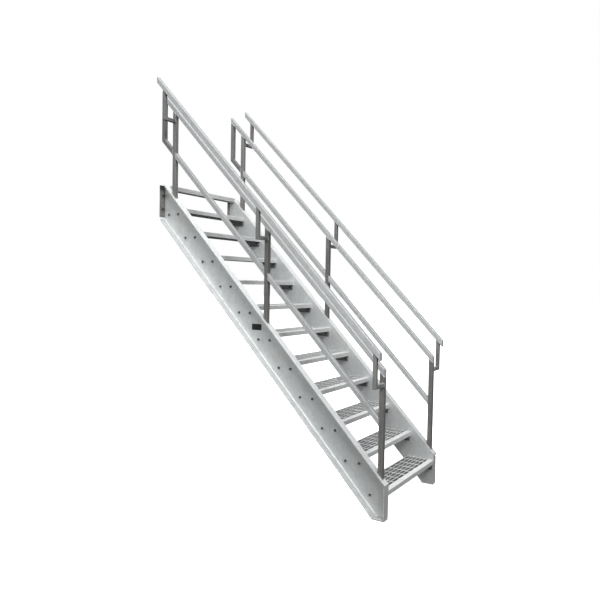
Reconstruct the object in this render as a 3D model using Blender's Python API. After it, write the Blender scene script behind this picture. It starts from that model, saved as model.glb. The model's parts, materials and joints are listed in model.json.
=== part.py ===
"""Straight steel industrial stair: channel stringers, bolted bar-grating
treads, square-tube guards and outboard handrails.  Metres, +Z up, +X to the right of
a person climbing, +Y towards the landing.

Origin: the landing's face, on the middle of the landing nosing's back face.
"""
import math

import bmesh
import bpy
from mathutils import Matrix, Vector

# ---------------------------------------------------------------- dimensions
# flight
RISE = 0.216              # one step up
GOING = 0.210             # one step along
TREADS = 11               # bolted treads; the landing nosing is the twelfth step
CLEAR_WIDTH = 0.9144      # between the stringers' inner faces
LANDING_DROP = 0.008      # floor plate that lies on the landing nosing
GAP = 0.0003              # clearance kept between pieces that touch

# stringer channel, toes outwards
CHANNEL_DEPTH = 0.254
CHANNEL_FLANGE = 0.066
CHANNEL_WEB = 0.0065
FLANGE_THICK = 0.011
ROOT_RADIUS = 0.009
TOE_RADIUS = 0.004
STRINGER_ABOVE_NOSING = 0.0347   # square to the slope, nosing line to top flange
END_PLATE = 0.010         # top connection plates and front plates
TOP_PLATE_INSIDE = 0.025  # how far a top plate reaches past the web's inner face
TOP_PLATE_SHORT = 0.0262  # top plate's lower edge, above the stringer's lower corner
TOP_BOLTS = 2
TOP_BOLT_SPACING = 0.127
TOP_BOLT_FIRST = 0.086    # below the top plate's upper edge
TOP_BOLT_RADIUS = 0.009
FOOT_PLATE = 0.010
FOOT_BOLT_RADIUS = 0.009
FOOT_BOLT_ALONG = 0.625   # of the foot plate's length, from its front
FRONT_PLATE_RECESS = 0.003
HOLE_SIDES = 24

# treads: a nosing angle, bearing bars along the width and two end plates
GRATING_BARS = 7          # the first one carries the nosing's back edge
BAR_FIRST = 0.042         # nosing to the first bar's centre
BAR_PITCH = 0.0322
BAR_THICK = 0.005
BAR_DEPTH = 0.032
BAR_SET_DOWN = 0.0005     # bars' tops below the nosing's top
BAR_WELD = 0.002          # how far the bars run into the end plates
TREAD_BACK_GAP = 0.001    # short top tread's back edge to the top plates
NOSING_SHEET = 0.003
NOSING_RADIUS = 0.006
NOSING_SHORT = 0.001      # nosing's back edge, in front of the first bar's back face
END_PLATE_SHEET = 0.005
END_PLATE_HEIGHT = 0.038  # the nosing's front is as high
TAB_DROP = 0.085          # lower edge of the end plates' bolting tabs
TAB_FRONT = 0.012
TAB_BACK = 0.190
NOSING_BAR_DEPTH = 0.078  # landing nosing, front to back
NOSING_BAR_HEIGHT = 0.040

# guards
TUBE = 0.038
TUBE_RADIUS = 0.004
TUBE_SEGMENTS = 3
GUARD_HEIGHT = 0.850      # nosing line to the top of the guard rail, plumb
MIDRAIL_DROP = 0.397      # guard rail's top to the midrail's top, plumb
POST_OFF_CENTRE = 0.0032  # posts stand this far inwards of the flange's middle
POST_FROM_FRONT = 0.050   # stringer's front to the bottom post's centre
POSTS = 3
LOOP_BACK = 0.004         # landing face to the back of the end loops

# handrails
HANDRAIL_OUT = 0.138      # post centre to handrail centre
HANDRAIL_ABOVE_GUARD = 0.160
HANDRAIL_TOP_END = 0.080
HANDRAIL_PAST_BRACKET = 0.042
BRACKET_TUBE = 0.030
BRACKET_RADIUS = 0.003
BRACKET_BELOW_GUARD = 0.059   # guard rail's underside to the arm's top, plumb

# blank nameplate on the left web
PLATE_WIDTH = 0.098
PLATE_HEIGHT = 0.050
PLATE_THICK = 0.0015
PLATE_CORNER = 0.004
PLATE_STEP = 5            # it sits in the bay in front of this tread
PLATE_ALONG = 0.0435      # its middle, this far in front of that tread's nosing
PLATE_BELOW = 0.148       # top edge, below that tread's top

# ---------------------------------------------------------------- derived
SLOPE = RISE / GOING
PITCH = math.atan(SLOPE)
FLOOR_Z = NOSING_BAR_HEIGHT / 2 + LANDING_DROP
GROUND_Z = FLOOR_Z - (TREADS + 1) * RISE
HALF = CLEAR_WIDTH / 2
FRONT_Y = -TREADS * GOING
TOE_X = HALF + CHANNEL_FLANGE
TREAD_DEPTH = BAR_FIRST + (GRATING_BARS - 1) * BAR_PITCH + BAR_THICK / 2
TOP_TREAD_DEPTH = GOING - END_PLATE - TREAD_BACK_GAP
POST_X = HALF + CHANNEL_FLANGE / 2 - POST_OFF_CENTRE
POST_PITCH = (TREADS - 1) / (POSTS - 1) * GOING
MIDRAIL_HEIGHT = GUARD_HEIGHT - MIDRAIL_DROP
HANDRAIL_HEIGHT = GUARD_HEIGHT + HANDRAIL_ABOVE_GUARD
HANDRAIL_X = POST_X + HANDRAIL_OUT
STRINGER_TOP = STRINGER_ABOVE_NOSING / math.cos(PITCH)
CHANNEL_PLUMB = CHANNEL_DEPTH / math.cos(PITCH)
TUBE_PLUMB = TUBE / math.cos(PITCH)
LANDING_NOSING_TOP = FLOOR_Z - LANDING_DROP
BRACKET_TOP = GUARD_HEIGHT - TUBE_PLUMB - BRACKET_BELOW_GUARD

SLOPE_NORMAL = (0.0, -math.sin(PITCH), math.cos(PITCH))
PLUMB = (0.0, 1.0, 0.0)   # normal of a plumb cut across the flight
ACROSS = (1.0, 0.0, 0.0)

# turns of a flat outline: its X and Y become the two named world axes
SIDE_ON = Matrix(((0, 0, 1, 0), (1, 0, 0, 0), (0, 1, 0, 0), (0, 0, 0, 1)))
FRONT_ON = Matrix(((1, 0, 0, 0), (0, 0, -1, 0), (0, 1, 0, 0), (0, 0, 0, 1)))
FROM_ABOVE = Matrix.Identity(4)

SIDES = (("left", -1.0), ("right", 1.0))
LEVELS = ("top", "middle", "bottom")
BAYS = ("upper", "lower")
WELD = 1e-6
SMOOTH_ANGLE = math.radians(35)

STEEL = (0.56, 0.58, 0.60, 1.0)
TREAD_STEEL = (0.60, 0.61, 0.62, 1.0)
RAIL_STEEL = (0.52, 0.54, 0.56, 1.0)
LABEL_BLACK = (0.02, 0.02, 0.02, 1.0)


def pitch_z(y, above=0.0):
    """Height of the line through the nosings at y, moved up plumb by above."""
    return FLOOR_Z + SLOPE * y + above


def post_y(index):
    """Centre of a guard post, counted from the top one."""
    return FRONT_Y + POST_FROM_FRONT + (POSTS - 1 - index) * POST_PITCH


# ---------------------------------------------------------------- scene set-up
def clear_scene():
    for obj in list(bpy.data.objects):
        bpy.data.objects.remove(obj, do_unlink=True)
    for mesh in list(bpy.data.meshes):
        bpy.data.meshes.remove(mesh)


def new_collection(name):
    coll = bpy.data.collections.new(name)
    bpy.context.scene.collection.children.link(coll)
    return coll


def material(name, colour, roughness, metallic):
    mat = bpy.data.materials.new(name)
    mat.use_nodes = True
    shader = mat.node_tree.nodes["Principled BSDF"]
    shader.inputs["Base Color"].default_value = colour
    shader.inputs["Roughness"].default_value = roughness
    shader.inputs["Metallic"].default_value = metallic
    return mat


clear_scene()
STAIR = new_collection("industrial_stair")
CUTTERS = new_collection("cutters")
SECTION = material("galvanised_section", STEEL, 0.45, 0.85)
TUBING = material("galvanised_tube", RAIL_STEEL, 0.42, 0.85)
GRATING = material("galvanised_tread", TREAD_STEEL, 0.48, 0.85)
LABEL = material("black_plate", LABEL_BLACK, 0.5, 0.0)
ROOT = bpy.data.objects.new("stair", None)
STAIR.objects.link(ROOT)


# ---------------------------------------------------------------- modelling tools
def place(name, mesh, location, mat=SECTION):
    """A piece of the stair: its own object, which may share its mesh."""
    if not mesh.materials:
        mesh.materials.append(mat)
    mesh.shade_smooth()
    mesh.set_sharp_from_angle(angle=SMOOTH_ANGLE)
    obj = bpy.data.objects.new(name, mesh)
    obj.location = location
    obj.parent = ROOT
    STAIR.objects.link(obj)
    return obj


def cutter(name, mesh, location):
    obj = bpy.data.objects.new(name, mesh)
    obj.location = location
    obj.hide_render = True
    obj.display_type = "WIRE"
    CUTTERS.objects.link(obj)
    return obj


def edited(mesh, edit):
    """Run edit on the mesh's bmesh and write it back."""
    bm = bmesh.new()
    bm.from_mesh(mesh)
    edit(bm)
    bmesh.ops.recalc_face_normals(bm, faces=bm.faces)
    bm.to_mesh(mesh)
    bm.free()
    return mesh


def block(name, size):
    """A box of the given size, centred on its origin."""
    def build_block(bm):
        bmesh.ops.create_cube(bm, size=1.0, matrix=Matrix.Diagonal((*size, 1.0)))
    return edited(bpy.data.meshes.new(name), build_block)


def extrusion(name, outline, thickness, view):
    """A closed flat outline extruded by thickness about its own plane and
    turned to the given view: SIDE_ON reads it as (Y, Z), FRONT_ON as (X, Z),
    FROM_ABOVE as (X, Y)."""
    curve = bpy.data.curves.new(name, "CURVE")
    curve.dimensions = "2D"
    curve.fill_mode = "BOTH"
    curve.extrude = thickness / 2
    spline = curve.splines.new("POLY")
    spline.points.add(len(outline) - 1)
    for point, (u, v) in zip(spline.points, outline):
        point.co = (u, v, 0.0, 1.0)
    spline.use_cyclic_u = True
    shape = bpy.data.objects.new(name, curve)
    STAIR.objects.link(shape)
    depsgraph = bpy.context.evaluated_depsgraph_get()
    mesh = bpy.data.meshes.new_from_object(shape.evaluated_get(depsgraph))
    bpy.data.objects.remove(shape, do_unlink=True)
    bpy.data.curves.remove(curve)

    def close(bm):
        bmesh.ops.remove_doubles(bm, verts=bm.verts, dist=WELD)
        for level in (-thickness / 2, thickness / 2):
            cap = [f for f in bm.faces if all(abs(v.co.z - level) < WELD for v in f.verts)]
            bmesh.ops.dissolve_faces(bm, faces=cap)
        bmesh.ops.transform(bm, matrix=view, verts=bm.verts)
    return edited(mesh, close)


def trim(mesh, point, normal):
    """Cut away what lies beyond a plane and close the cut."""
    def cut_off(bm):
        geom = bm.verts[:] + bm.edges[:] + bm.faces[:]
        cut_edges = bmesh.ops.bisect_plane(bm, geom=geom, dist=WELD, plane_co=point,
                                           plane_no=normal, clear_outer=True)["geom_cut"]
        rim = [item for item in cut_edges if isinstance(item, bmesh.types.BMEdge)]
        bmesh.ops.contextual_create(bm, geom=rim)
    return edited(mesh, cut_off)


def round_edges(mesh, radius, segments, ends):
    """Round every edge but those that lie in one of the end planes, each
    given as (point, normal)."""
    def in_plane(edge, plane):
        origin, normal = Vector(plane[0]), Vector(plane[1])
        return all(abs((v.co - origin).dot(normal)) < WELD * 10 for v in edge.verts)

    def bevel(bm):
        edges = [e for e in bm.edges if not any(in_plane(e, plane) for plane in ends)]
        bmesh.ops.bevel(bm, geom=edges, offset=radius, segments=segments, profile=0.5,
                        affect="EDGES")
    return edited(mesh, bevel)


def cut(obj, tool, operation):
    """Apply one exact Boolean to obj with tool, which stays among the cutters."""
    modifier = obj.modifiers.new(operation.lower(), "BOOLEAN")
    modifier.operation = operation
    modifier.solver = "EXACT"
    modifier.object = tool
    depsgraph = bpy.context.evaluated_depsgraph_get()
    mesh = bpy.data.meshes.new_from_object(obj.evaluated_get(depsgraph))
    obj.modifiers.clear()
    old = obj.data
    obj.data = mesh
    bpy.data.meshes.remove(old)
    mesh.name = obj.name


def drill(obj, centre, turn, radius, depth):
    """A round through hole centred on centre, its axis turned from +Z by turn."""
    def build_drill(bm):
        bmesh.ops.create_cone(bm, cap_ends=True, segments=HOLE_SIDES, radius1=radius,
                              radius2=radius, depth=depth * 2, matrix=turn)
    mesh = edited(bpy.data.meshes.new(obj.name + "_drill"), build_drill)
    cut(obj, cutter(mesh.name, mesh, centre), "DIFFERENCE")


def arc(centre, radius, first, last, segments):
    """Points of a circular arc, angles in degrees."""
    points = []
    for i in range(segments + 1):
        angle = math.radians(first + (last - first) * i / segments)
        points.append((centre[0] + radius * math.cos(angle),
                       centre[1] + radius * math.sin(angle)))
    return points


# ---------------------------------------------------------------- bars
def sloped_tube(name, top, start_y, end_y):
    """A square tube along the flight with plumb ends.  Its origin is on the
    nosing line, and top is the plumb height of its upper face over that line."""
    outline = [(start_y, SLOPE * start_y + top - TUBE_PLUMB), (start_y, SLOPE * start_y + top),
               (end_y, SLOPE * end_y + top), (end_y, SLOPE * end_y + top - TUBE_PLUMB)]
    mesh = extrusion(name, outline, TUBE, SIDE_ON)
    ends = [((0.0, start_y, 0.0), PLUMB), ((0.0, end_y, 0.0), PLUMB)]
    return round_edges(mesh, TUBE_RADIUS, TUBE_SEGMENTS, ends)


def post_mesh():
    """Guard post from the stringer's top flange to the guard rail, both ends
    cut to the slope, its origin on the nosing line."""
    foot = STRINGER_TOP + GAP
    head = GUARD_HEIGHT - TUBE_PLUMB - GAP
    half = TUBE / 2
    outline = [(-half, foot - SLOPE * half), (-half, head - SLOPE * half),
               (half, head + SLOPE * half), (half, foot + SLOPE * half)]
    mesh = extrusion("guard_post", outline, TUBE, SIDE_ON)
    ends = [((0.0, 0.0, foot), SLOPE_NORMAL), ((0.0, 0.0, head), SLOPE_NORMAL)]
    return round_edges(mesh, TUBE_RADIUS, TUBE_SEGMENTS, ends)


# ---------------------------------------------------------------- pieces
def channel_outline(sign):
    """Section of a stringer as (X, up): X from the web's inner face towards
    the toes, up square to the slope from the channel's middle."""
    half = CHANNEL_DEPTH / 2
    inner = half - FLANGE_THICK
    root = ROOT_RADIUS
    toe = TOE_RADIUS
    upper = [(0.0, half), (CHANNEL_FLANGE, half), (CHANNEL_FLANGE, inner + toe)]
    upper += arc((CHANNEL_FLANGE - toe, inner + toe), toe, 0, -90, 2)[1:]
    upper += arc((CHANNEL_WEB + root, inner - root), root, 90, 180, 3)
    lower = [(out, -up) for out, up in reversed(upper)]
    return [(sign * out, up) for out, up in upper + lower]


def stringer(side, sign):
    """Channel cut plumb at the landing, level along its top corner, plumb in
    front and level at the foot."""
    long_way = (TREADS + 3) * math.hypot(RISE, GOING)
    mesh = extrusion(side + "_stringer", channel_outline(sign), long_way, FROM_ABOVE)
    mesh.transform(Matrix.Rotation(math.radians(90) + PITCH, 4, "X"))
    middle_y = -(TREADS + 1) / 2 * GOING
    middle_drop = STRINGER_TOP - CHANNEL_PLUMB / 2
    obj = place(side + "_stringer", mesh, (sign * HALF, middle_y, pitch_z(middle_y, middle_drop)))
    low = Vector((-TOE_X * 2, FRONT_Y, GROUND_Z + FOOT_PLATE + GAP))
    high = Vector((TOE_X * 2, -END_PLATE - GAP, LANDING_NOSING_TOP))
    tool = cutter(obj.name + "_ends", block(obj.name + "_ends", high - low), (low + high) / 2)
    cut(obj, tool, "INTERSECT")
    return obj


def top_plate(side, sign):
    """Connection plate welded across the stringer's top end, with two holes."""
    inner = HALF - TOP_PLATE_INSIDE
    foot = pitch_z(-END_PLATE - GAP, STRINGER_TOP - CHANNEL_PLUMB) + TOP_PLATE_SHORT
    size = (TOE_X - inner, END_PLATE, LANDING_NOSING_TOP - foot)
    centre = (sign * (inner + TOE_X) / 2, -END_PLATE / 2, (LANDING_NOSING_TOP + foot) / 2)
    obj = place(side + "_top_plate", block(side + "_top_plate", size), centre)
    hole_x = sign * (HALF + CHANNEL_WEB + (CHANNEL_FLANGE - CHANNEL_WEB) / 2)
    for i in range(TOP_BOLTS):
        z = LANDING_NOSING_TOP - TOP_BOLT_FIRST - i * TOP_BOLT_SPACING
        drill(obj, (hole_x, -END_PLATE / 2, z), FRONT_ON, TOP_BOLT_RADIUS, END_PLATE)
    return obj


def foot_plate(side, sign):
    """Base plate under the stringer's level cut, with one anchor hole."""
    channel_bottom = STRINGER_TOP - CHANNEL_PLUMB
    back_y = (GROUND_Z + FOOT_PLATE - pitch_z(0.0, channel_bottom)) / SLOPE
    size = (CHANNEL_FLANGE, back_y - FRONT_Y, FOOT_PLATE)
    centre = (sign * (HALF + TOE_X) / 2, (FRONT_Y + back_y) / 2, GROUND_Z + FOOT_PLATE / 2)
    obj = place(side + "_foot_plate", block(side + "_foot_plate", size), centre)
    hole = (centre[0], FRONT_Y + FOOT_BOLT_ALONG * size[1], centre[2])
    drill(obj, hole, FROM_ABOVE, FOOT_BOLT_RADIUS, FOOT_PLATE)
    return obj


def front_plate(side, sign):
    """Plate that closes the stringer's lower end between web and toes."""
    front = FRONT_Y + FRONT_PLATE_RECESS
    under_flange = (FLANGE_THICK + ROOT_RADIUS) / math.cos(PITCH)
    head = pitch_z(front, STRINGER_TOP - under_flange) - GAP
    foot = GROUND_Z + FOOT_PLATE + GAP
    inner = HALF + CHANNEL_WEB + GAP
    mesh = block(side + "_front_plate", (TOE_X - inner, END_PLATE, head - foot))
    centre = (sign * (inner + TOE_X) / 2, front + END_PLATE / 2, (head + foot) / 2)
    return place(side + "_front_plate", mesh, centre)


def end_plate_outline(depth):
    """Tread's end plate, with the bolting tab under it, as (Y, Z)."""
    tab_back = min(TAB_BACK, depth - BAR_THICK)
    outline = [(0.0, -END_PLATE_HEIGHT)]
    outline += arc((NOSING_RADIUS, -NOSING_RADIUS), NOSING_RADIUS, 180, 90, 3)
    outline += [(depth - BAR_THICK / 2, 0.0), (depth - BAR_THICK / 2, -END_PLATE_HEIGHT),
                (tab_back, -END_PLATE_HEIGHT), (tab_back, -TAB_DROP),
                (TAB_FRONT, -TAB_DROP), (TAB_FRONT, -END_PLATE_HEIGHT)]
    return outline


def bar_places(depth):
    """Centres of the bearing bars: at even pitch, with the last at the back."""
    last = depth - BAR_THICK / 2
    places = [BAR_FIRST]
    while places[-1] + BAR_PITCH * 1.5 < last:
        places.append(places[-1] + BAR_PITCH)
    return places + [last]


def bearing_bars(depth):
    """The bars of one tread in one cutter mesh, each a closed box."""
    length = CLEAR_WIDTH - 2 * (GAP + END_PLATE_SHEET - BAR_WELD)
    middle = -BAR_SET_DOWN - BAR_DEPTH / 2

    def build_bars(bm):
        for y in bar_places(depth):
            size = Matrix.Diagonal((length, BAR_THICK, BAR_DEPTH, 1.0))
            bmesh.ops.create_cube(bm, size=1.0, matrix=Matrix.Translation((0, y, middle)) @ size)
    return edited(bpy.data.meshes.new("bearing_bars"), build_bars)


def tread_mesh(depth):
    """Nosing angle between two end plates that bolt to the stringers' webs,
    and the bearing bars behind it.  The cross rods are left to the finish.
    Its origin is the middle of the nosing's upper edge."""
    width = CLEAR_WIDTH - 2 * GAP
    blank = place("tread_blank", extrusion("tread", end_plate_outline(depth), width, SIDE_ON),
                  (0, 0, 0), GRATING)
    nosing_back = BAR_FIRST + BAR_THICK / 2 - NOSING_SHORT
    below, above, behind = -TAB_DROP * 2, NOSING_SHEET, depth + BAR_THICK
    hollow = [(NOSING_SHEET, below), (NOSING_SHEET, -NOSING_SHEET), (nosing_back, -NOSING_SHEET),
              (nosing_back, above), (behind, above), (behind, below)]
    room = extrusion("tread_hollow", hollow, width - 2 * END_PLATE_SHEET, SIDE_ON)
    cut(blank, cutter("tread_hollow", room, (0, 0, 0)), "DIFFERENCE")
    cut(blank, cutter("bearing_bars", bearing_bars(depth), (0, 0, 0)), "UNION")
    mesh = blank.data
    bpy.data.objects.remove(blank, do_unlink=True)
    return mesh


def landing_nosing():
    """Bar between the stringers' top ends, level with the landing's edge; its
    back face passes between the two top plates and bears on the landing."""
    half = HALF - GAP
    inner = HALF - TOP_PLATE_INSIDE - GAP
    step = -END_PLATE - GAP
    outline = [(-half, -NOSING_BAR_DEPTH), (half, -NOSING_BAR_DEPTH), (half, step),
               (inner, step), (inner, 0.0), (-inner, 0.0), (-inner, step), (-half, step)]
    mesh = extrusion("landing_nosing", outline, NOSING_BAR_HEIGHT, FROM_ABOVE)
    return place("landing_nosing", mesh, (0.0, 0.0, LANDING_NOSING_TOP - NOSING_BAR_HEIGHT / 2), GRATING)


def end_loop_mesh():
    """Upright and short rail that close the guard's upper end, bent from one
    tube: from the guard rail's underside down and along to the top post.  Its
    origin is on the nosing line at the landing's face."""
    back = -LOOP_BACK
    inside = back - TUBE
    post_face = post_y(0) + TUBE / 2 + GAP
    head = GUARD_HEIGHT - TUBE_PLUMB - GAP
    low = MIDRAIL_HEIGHT - TUBE_PLUMB
    outline = [(back, SLOPE * back + head), (back, SLOPE * back + low),
               (post_face, SLOPE * post_face + low),
               (post_face, SLOPE * post_face + MIDRAIL_HEIGHT),
               (inside, SLOPE * inside + MIDRAIL_HEIGHT), (inside, SLOPE * inside + head)]
    mesh = extrusion("end_loop", outline, TUBE, SIDE_ON)
    ends = [((0.0, post_face, 0.0), PLUMB), ((0.0, 0.0, head), SLOPE_NORMAL)]
    return round_edges(mesh, TUBE_RADIUS, TUBE_SEGMENTS - 1, ends)


def bracket_mesh(sign):
    """Mitred angle of square tube: an arm out from the post's outer face and
    an upright to the handrail's underside.  Its origin is on the nosing line
    in the post's plane."""
    arm_low = BRACKET_TOP - BRACKET_TUBE
    head = HANDRAIL_HEIGHT - TUBE_PLUMB - GAP
    start = TUBE / 2 + GAP
    outer = HANDRAIL_OUT + BRACKET_TUBE / 2
    inner = HANDRAIL_OUT - BRACKET_TUBE / 2
    over = head + BRACKET_TUBE * SLOPE
    outline = [(start, arm_low), (outer, arm_low), (outer, over), (inner, over),
               (inner, BRACKET_TOP), (start, BRACKET_TOP)]
    outline = [(sign * x, z) for x, z in outline]
    mesh = extrusion("bracket", outline, BRACKET_TUBE, FRONT_ON)
    trim(mesh, (0.0, 0.0, head), SLOPE_NORMAL)
    ends = [((sign * start, 0.0, 0.0), ACROSS), ((0.0, 0.0, head), SLOPE_NORMAL)]
    return round_edges(mesh, BRACKET_RADIUS, TUBE_SEGMENTS - 1, ends)


def bracket_y(index):
    """The arm sits flush with the post's front face."""
    return post_y(index) - TUBE / 2 + BRACKET_TUBE / 2


def nameplate():
    """Plain plate on the left web's outer face."""
    thick_middle = -(HALF + CHANNEL_WEB + GAP + PLATE_THICK / 2)
    centre_y = -PLATE_STEP * GOING - PLATE_ALONG
    centre_z = FLOOR_Z - PLATE_STEP * RISE - PLATE_BELOW - PLATE_HEIGHT / 2
    u = PLATE_WIDTH / 2 - PLATE_CORNER
    v = PLATE_HEIGHT / 2 - PLATE_CORNER
    outline = []
    for quarter, corner in enumerate(((u, v), (-u, v), (-u, -v), (u, -v))):
        outline += arc(corner, PLATE_CORNER, 90 * quarter, 90 * quarter + 90, 3)
    mesh = extrusion("nameplate", outline, PLATE_THICK, SIDE_ON)
    return place("nameplate", mesh, (thick_middle, centre_y, centre_z), LABEL)


# ---------------------------------------------------------------- assembly
def build_side(side, sign, meshes):
    stringer(side, sign)
    top_plate(side, sign)
    foot_plate(side, sign)
    front_plate(side, sign)
    line_start = (sign * POST_X, 0.0, pitch_z(0.0))
    place(side + "_guard_rail", meshes["guard_rail"], line_start, TUBING)
    place(side + "_end_loop", meshes["end_loop"], line_start, TUBING)
    place(side + "_handrail", meshes["handrail"], (sign * HANDRAIL_X, 0.0, pitch_z(0.0)), TUBING)
    bracket = bracket_mesh(sign)
    for index, level in enumerate(LEVELS):
        y = post_y(index)
        place("%s_post_%s" % (side, level), meshes["post"], (sign * POST_X, y, pitch_z(y)), TUBING)
        y = bracket_y(index)
        place("%s_bracket_%s" % (side, level), bracket, (sign * POST_X, y, pitch_z(y)), TUBING)
    for bay, part in enumerate(BAYS):
        y = post_y(bay)
        place("%s_midrail_%s" % (side, part), meshes["midrail"], (sign * POST_X, y, pitch_z(y)),
              TUBING)


def build():
    post_front = post_y(POSTS - 1) - TUBE / 2
    rail_front = bracket_y(POSTS - 1) - HANDRAIL_PAST_BRACKET
    bay_start = -TUBE / 2 - GAP
    meshes = {
        "guard_rail": sloped_tube("guard_rail", GUARD_HEIGHT, post_front, -LOOP_BACK),
        "midrail": sloped_tube("midrail", MIDRAIL_HEIGHT, -POST_PITCH - bay_start, bay_start),
        "handrail": sloped_tube("handrail", HANDRAIL_HEIGHT, rail_front, -HANDRAIL_TOP_END),
        "post": post_mesh(),
        "end_loop": end_loop_mesh(),
    }
    for side, sign in SIDES:
        build_side(side, sign, meshes)
    full, short = tread_mesh(TREAD_DEPTH), tread_mesh(TOP_TREAD_DEPTH)
    for index in range(1, TREADS + 1):
        nosing_edge = (0.0, -index * GOING, FLOOR_Z - index * RISE)
        place("tread_%02d" % index, short if index == 1 else full, nosing_edge, GRATING)
    landing_nosing()
    nameplate()


build()
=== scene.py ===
# %% [markdown]
# # An industrial steel stair
# A bolted, hot-dip galvanised stair: two rolled channels carry eleven grating
# treads, and square tube makes the guards and the handrails.  The pieces arrive
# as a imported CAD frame.  This lesson rounds their edges, drills and welds them,
# weaves the gratings, bolts the treads on and gives every piece its zinc.

# %% The frame, straight from the pack
import json
import math

import bmesh
import bpy
from mathutils import Matrix, Vector
from mathutils.bvhtree import BVHTree

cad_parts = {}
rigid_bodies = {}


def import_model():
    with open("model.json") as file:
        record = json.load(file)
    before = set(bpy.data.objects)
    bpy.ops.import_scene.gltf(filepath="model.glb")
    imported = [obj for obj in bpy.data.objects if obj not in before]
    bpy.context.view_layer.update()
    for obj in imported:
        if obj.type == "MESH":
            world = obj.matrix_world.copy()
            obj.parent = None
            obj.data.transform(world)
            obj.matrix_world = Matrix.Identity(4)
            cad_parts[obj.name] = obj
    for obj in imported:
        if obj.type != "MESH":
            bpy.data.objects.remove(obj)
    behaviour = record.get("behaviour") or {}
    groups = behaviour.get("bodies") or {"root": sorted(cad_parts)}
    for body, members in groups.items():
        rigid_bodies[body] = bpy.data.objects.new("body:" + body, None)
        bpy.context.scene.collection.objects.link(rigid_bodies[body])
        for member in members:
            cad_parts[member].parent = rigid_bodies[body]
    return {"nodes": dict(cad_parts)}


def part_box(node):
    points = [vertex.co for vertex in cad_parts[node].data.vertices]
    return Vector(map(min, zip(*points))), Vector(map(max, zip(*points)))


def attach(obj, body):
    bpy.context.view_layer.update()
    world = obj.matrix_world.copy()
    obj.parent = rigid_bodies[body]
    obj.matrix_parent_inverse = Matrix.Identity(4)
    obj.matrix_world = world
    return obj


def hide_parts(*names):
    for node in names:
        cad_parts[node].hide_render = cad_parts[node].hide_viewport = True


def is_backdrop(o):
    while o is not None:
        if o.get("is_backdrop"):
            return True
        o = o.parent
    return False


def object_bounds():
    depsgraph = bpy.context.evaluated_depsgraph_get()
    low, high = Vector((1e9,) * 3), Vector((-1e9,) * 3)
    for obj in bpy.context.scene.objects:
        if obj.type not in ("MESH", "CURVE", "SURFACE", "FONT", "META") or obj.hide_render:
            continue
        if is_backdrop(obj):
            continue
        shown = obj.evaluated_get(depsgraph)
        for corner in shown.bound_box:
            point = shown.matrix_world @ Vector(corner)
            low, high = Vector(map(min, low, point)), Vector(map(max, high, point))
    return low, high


for leftover in list(bpy.data.objects):
    bpy.data.objects.remove(leftover, do_unlink=True)
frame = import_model()
NODES = frame["nodes"]
cad_low, cad_high = (list(corner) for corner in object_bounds())
print("frame:", len(NODES), "CAD nodes,", [round(v, 3) for v in cad_low],
      [round(v, 3) for v in cad_high])

# %% [markdown]
# ## The sizes that the lesson needs
# A fitter measures the frame before making anything that fits it.  Places come
# from the CAD boxes, so that bolts stay in their treads if the frame is packed
# again.  Only the trade sizes of the fittings are typed in.

# %% Sizes read off the frame
TREADS = sorted(name for name in NODES if name.startswith("tread_"))
SIDES = (("left", -1.0), ("right", 1.0))
GAP = 0.0003
WEB_SHEET = 0.0065
WEB_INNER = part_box("tread_02")[1].x + GAP
WEB_OUTER = WEB_INNER + WEB_SHEET
TREAD_END_SHEET = 0.005
nosings = [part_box(name) for name in TREADS]
RISE = (nosings[1][1].z - nosings[2][1].z)
GOING = (nosings[1][0].y - nosings[2][0].y)
GROUND = cad_low[2]
print("rise %.3f, going %.3f, clear width %.4f m" % (RISE, GOING, 2 * WEB_INNER))


def pitch_z(y, above=0.0):
    """Height of the line through the tread nosings, moved up plumb."""
    return nosings[1][1].z + (y - nosings[1][0].y) * RISE / GOING + above


# %% [markdown]
# ## Camera
# The stair is seen from its left, a little in front of the foot and at about the
# height of a person's chest.  A camera is a point, a heading and a lens, so its
# matrix is written from yaw, pitch and roll, and a very small shift centres it.

# %% Camera
CAMERA_PLACE = Vector((-4.36991, -4.06383, -0.85703))
YAW, PITCH, ROLL = (math.radians(a) for a in (32.978, -1.8829, 1.0034))
LENS_MM = 35.388
SENSOR_MM = 36.0
SHIFT = (-0.00195, 0.0047)
SEES_TO = 200.0
ahead = Vector((math.cos(YAW) * math.cos(PITCH), math.sin(YAW) * math.cos(PITCH), math.sin(PITCH)))
level = Vector((math.sin(YAW), -math.cos(YAW), 0.0))
upright = level.cross(ahead)
right = level * math.cos(ROLL) + upright * math.sin(ROLL)
above = upright * math.cos(ROLL) - level * math.sin(ROLL)
camera_data = bpy.data.cameras.new("camera")
camera_data.lens = LENS_MM
camera_data.sensor_width = SENSOR_MM
camera_data.shift_x, camera_data.shift_y = SHIFT
camera_data.clip_end = SEES_TO
camera = bpy.data.objects.new("camera", camera_data)
turn = Matrix((right, above, -ahead)).transposed()
camera.matrix_world = Matrix.Translation(CAMERA_PLACE) @ turn.to_4x4()
bpy.context.scene.collection.objects.link(camera)
bpy.context.scene.camera = camera
print("camera", [round(v, 2) for v in CAMERA_PLACE], "lens", camera_data.lens)

# %% [markdown]
# ## Floor and light
# The stair stands in a white room: a pale floor that runs out of sight, a very
# large soft light overhead, another from the upper left and a weaker one level
# with the stair's left side.  The world lights from above more
# than from below, which keeps the undersides dark, and the floor gives back no
# light for the same reason.  It glows a little, so that it meets a white horizon.

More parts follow.
